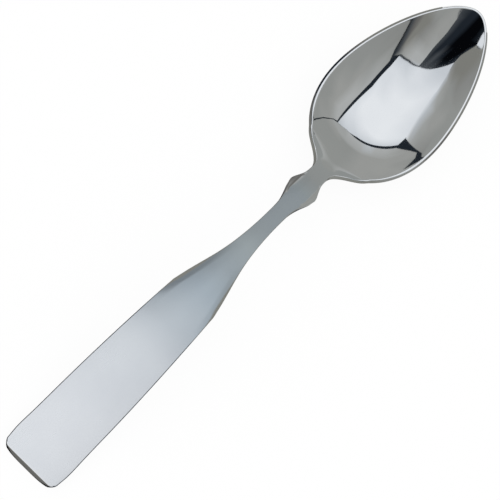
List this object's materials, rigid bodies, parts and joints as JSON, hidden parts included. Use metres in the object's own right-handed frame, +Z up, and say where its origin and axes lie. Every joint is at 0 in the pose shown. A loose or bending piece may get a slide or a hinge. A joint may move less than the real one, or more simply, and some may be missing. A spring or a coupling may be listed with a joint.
{
  "type": "dessert spoon",
  "caption": "Steel dessert spoon: egg-shaped polished bowl, slim waisted neck with a small eared knuckle, and an arched satin handle that widens to a square end.",
  "frame": {"origin": "middle of the spoon's outline, on the table that it lies on", "axes": "+X from the handle end to the bowl's tip, +Y to the left of that, +Z up out of the bowl"},
  "size_m": [0.1808, 0.0368, 0.0189],
  "materials": {
    "stainless_steel": "mirror-polished bowl and neck, running out to a satin-brushed handle"
  },
  "bodies": {
    "root": {"spoon": "stainless_steel"}
  },
  "joints": []
}
